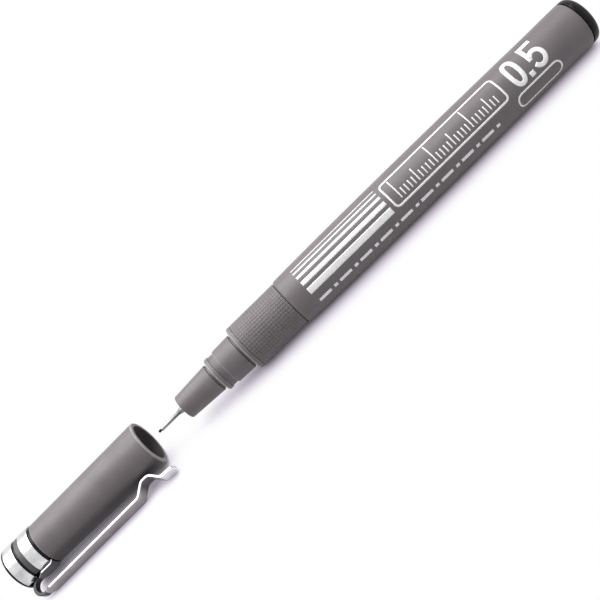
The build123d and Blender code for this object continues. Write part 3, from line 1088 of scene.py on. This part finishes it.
def bent_strip(bends):
    """Rounded strip section carried along the middle line through the bends.

    A row's section stands square to the line: thickness along the line's normal, width across the
    bending plane. Near the tip the width shrinks by the tip's corner circles, and between the taper's
    ends it goes evenly from the full width to the tongue's. Returns the part and its painted light,
    which is 1 at the tip, a painted highlight, and below 0, painted shade, on the inner side, the bump's
    outer side and the tongue.
    """
    line = rounded_profile(bends, clip_arc_steps, clip_row_gap)[0]
    last = line[-1] - line[-2]
    last /= np.linalg.norm(last)
    from_end = clip_tip_round * (1 - np.sin(np.linspace(0, np.pi / 2, clip_tip_steps)))
    line = np.vstack([line[:-1], line[-1] - from_end[:, None] * last])
    to_end = np.append(np.full(len(line) - clip_tip_steps, clip_tip_round), from_end)
    ahead = np.diff(line, axis=0)
    ahead /= np.linalg.norm(ahead, axis=1)[:, None]
    course = np.vstack([ahead[:1], ahead[1:] + ahead[:-1], ahead[-1:]])
    course /= np.linalg.norm(course, axis=1)[:, None]
    normal = np.stack([-course[:, 1], course[:, 0]], axis=-1)
    half_width = clip_width / 2
    corner_loss = clip_tip_round - np.sqrt(clip_tip_round**2 - (clip_tip_round - to_end) ** 2)
    narrowing = 1 - corner_loss / half_width
    narrowing *= np.interp(line[:, 0], (clip_tongue, clip_taper), (clip_tongue_width / clip_width, 1))
    half_thick = clip_thickness / 2
    section = rounded_profile(
        [
            (-half_width, -half_thick, clip_edge_round),
            (-half_width, half_thick, clip_edge_round),
            (half_width, half_thick, clip_edge_round),
            (half_width, -half_thick, clip_edge_round),
        ]
    )[0]
    flat = line[:, None] + section[:, 1:] * normal[:, None]
    side = narrowing[:, None] * section[:, 0]
    out = np.array([math.cos(clip_turn), math.sin(clip_turn)])
    level = flat[..., 1, None] * out + side[..., None] * (out[1], -out[0])
    # Painted light: 1 at the tip is a painted highlight; below 0 on the inner side, the bump's outer face
    # and the tongue is painted shade.
    painted_light = np.zeros(side.shape)
    painted_light[line[:, 0] > clip_foot] = tip_painted_highlight
    painted_light[:, section[:, 1] < clip_painted_shade_below] = inner_painted_shade
    bumped = (line[:, 0] > (arm_end + bump_rear) / 2) & (line[:, 0] < (bump_front + clip_foot) / 2)
    painted_light[np.ix_(bumped, section[:, 1] > -clip_painted_shade_below)] = bump_painted_shade
    painted_light[line[:, 0] < clip_tongue] = tongue_painted_shade
    return grid_part(np.concatenate([flat[..., :1], level], axis=-1), "capped"), painted_light.ravel()


clip_loop = node_span("cap_end_plug")[0] + clip_loop_inset + clip_thickness / 2
clip_tongue = node_span("rear_band")[1] + clip_tongue_gap
clip_taper = clip_tongue + clip_taper_length
clip_tang_place = cap_rear - clip_tang
bump_rear = cap_mouth - clip_bump_middle - clip_bump_flat / 2
bump_front = bump_rear + clip_bump_flat
clip_foot = bump_front + clip_bump_front_run
clip_foot_level = clip_bump_level + clip_bump_drop
arm_end = bump_rear - clip_bump_rear_run
arm_end_level = clip_bump_level + clip_bump_depth
taper_places = np.array([clip_tongue, clip_taper, clip_taper + clip_row_gap])
taper_levels = np.interp(taper_places, (clip_loop, arm_end), (clip_arm_level, arm_end_level))
clip_bends = [
    (clip_tang_place, clip_tang_depth, 0),
    (clip_tang_place, clip_leg_level, clip_tang_round),
    *[(place, clip_leg_level, 0) for place in taper_places[::-1]],
    (clip_loop, clip_leg_level, clip_loop_round),
    (clip_loop, clip_arm_level, clip_loop_round),
    *[(place, level, 0) for place, level in zip(taper_places, taper_levels)],
    (arm_end, arm_end_level, clip_bend_round),
    (bump_rear, clip_bump_level, clip_bend_round),
    (bump_front, clip_bump_level, clip_bend_round),
    (clip_foot, clip_foot_level, clip_bend_round),
    (cap_mouth + clip_tip_past_mouth, clip_foot_level + clip_tip_flare, 0),
]
clip_part, clip_painted_light = bent_strip(clip_bends)
pocket_clip = add_piece("clip_strip", [clip_part], clip_painted_light)
pocket_clip.data.materials.append(plated_strip())
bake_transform(pocket_clip)
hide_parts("pocket_clip")


# Floor: a wide white sheet under the pen, which keeps the pen's soft shadow.
# Camera, glossy and transmission rays see a clean white that turns to a violet grey where the pen
# closes off the sky. Each tone is a share of open sky with the colour seen there.
floor_half = 0.4
floor_white = (0.6, 0.6, 0.6, 1)
shadow_reach = 0.05
shadow_deepest = (0.03, (0.01, 0.009, 0.01, 1))
shadow_tones = (
    (0.12, (0.14, 0.13, 0.14, 1)),
    (0.25, (0.385, 0.36, 0.42, 1)),
    (0.50, (0.81, 0.765, 0.85, 1)),
)
shadow_gone = (0.66, (1, 1, 1, 1))


def seen_ray(tree):
    """1 for rays from the camera and for mirrored or transmitted ones, 0 for the light's own bounces."""
    path = add_node(tree, "ShaderNodeLightPath", {})
    seen = path.outputs["Is Camera Ray"]
    for kind in ("Is Glossy Ray", "Is Transmission Ray"):
        either = {0: seen, 1: path.outputs[kind]}
        seen = add_node(tree, "ShaderNodeMath", either, operation="MAXIMUM").outputs[0]
    return seen


floor_mesh = bpy.data.meshes.new("floor")
floor_corners = np.array([(-1, -1, 0), (1, -1, 0), (1, 1, 0), (-1, 1, 0)]) * floor_half
floor_mesh.from_pydata(floor_corners, [], [(0, 1, 2, 3)])
floor = bpy.data.objects.new("floor", floor_mesh)
bpy.context.scene.collection.objects.link(floor)
floor_finish = bpy.data.materials.new("white_sheet")
floor_finish.use_nodes = True
tree = floor_finish.node_tree
tree.nodes.clear()
lit = add_node(tree, "ShaderNodeBsdfDiffuse", {"Color": floor_white})
sky = add_node(tree, "ShaderNodeAmbientOcclusion", {"Distance": shadow_reach})
shade = add_node(tree, "ShaderNodeValToRGB", {"Fac": sky.outputs["AO"]})
shade_stops = shade.color_ramp.elements
for stop, (position, colour) in zip(shade_stops, (shadow_deepest, shadow_gone)):
    stop.position, stop.color = position, colour
for position, colour in shadow_tones:
    shade_stops.new(position).color = colour
seen = add_node(tree, "ShaderNodeEmission", {"Color": shade.outputs["Color"]})
chosen = add_node(tree, "ShaderNodeMixShader", {0: seen_ray(tree), 1: lit.outputs[0], 2: seen.outputs[0]})
add_node(tree, "ShaderNodeOutputMaterial", {"Surface": chosen.outputs[0]})
floor_mesh.materials.append(floor_finish)


# Light: a broad softbox overhead and a little behind the pen, in a bright white room.
# The room is plain white where it is seen or mirrored, and lights the pen only a little.
softbox_side = 0.9
softbox_power = 13.5
softbox_place = (-0.14, 0.1, 0.75)
room_light = 0.13
room_seen = 1.0

softbox_data = bpy.data.lights.new("softbox", "AREA")
softbox_data.size = softbox_side
softbox_data.energy = softbox_power
softbox = bpy.data.objects.new("softbox", softbox_data)
softbox.location = softbox_place
softbox.rotation_euler = Vector(softbox_place).to_track_quat("Z", "Y").to_euler()
bpy.context.scene.collection.objects.link(softbox)
room = bpy.data.worlds.new("white_room")
room.use_nodes = True
tree = room.node_tree
tree.nodes.clear()
strength = add_node(
    tree, "ShaderNodeMapRange", {"Value": seen_ray(tree), "To Min": room_light, "To Max": room_seen}
)
backdrop = add_node(
    tree, "ShaderNodeBackground", {"Color": (1, 1, 1, 1), "Strength": strength.outputs["Result"]}
)
add_node(tree, "ShaderNodeOutputWorld", {"Surface": backdrop.outputs[0]})
bpy.context.scene.world = room


# Camera: on the clip's side of the pen, looking down at it, and rolled so that the pen rises to the
# right. Its place is given in millimetres from the pen's axis.
camera_elevation = math.radians(28)
camera_distance = 183
camera_from_nib = 45.7
camera_lens = 53.4
pen_slope = math.radians(44.45)
picture_shift = (-0.0296, -0.0393)
camera_sensor = 36
camera_near = 0.01

looking = np.array([0, math.cos(camera_elevation), -math.sin(camera_elevation)])
along_pen = np.array([1, 0, 0])
across_pen = np.cross(along_pen, looking)
picture_right = math.cos(pen_slope) * along_pen - math.sin(pen_slope) * across_pen
picture_up = math.sin(pen_slope) * along_pen + math.cos(pen_slope) * across_pen
camera_target = np.array([nib_front + camera_from_nib, axis_y, axis_z])
camera_place = (camera_target - looking * camera_distance) * mm
camera_data = bpy.data.cameras.new("camera")
camera_data.lens = camera_lens
camera_data.sensor_width = camera_sensor
camera_data.shift_x, camera_data.shift_y = picture_shift
camera_data.clip_start = camera_near
camera = bpy.data.objects.new("camera", camera_data)
camera_axes = np.c_[picture_right, picture_up, -looking, camera_place]
camera.matrix_world = Matrix([*camera_axes.tolist(), [0, 0, 0, 1]])
bpy.context.scene.collection.objects.link(camera)
bpy.context.scene.camera = camera
bpy.context.scene.view_settings.view_transform = "Standard"
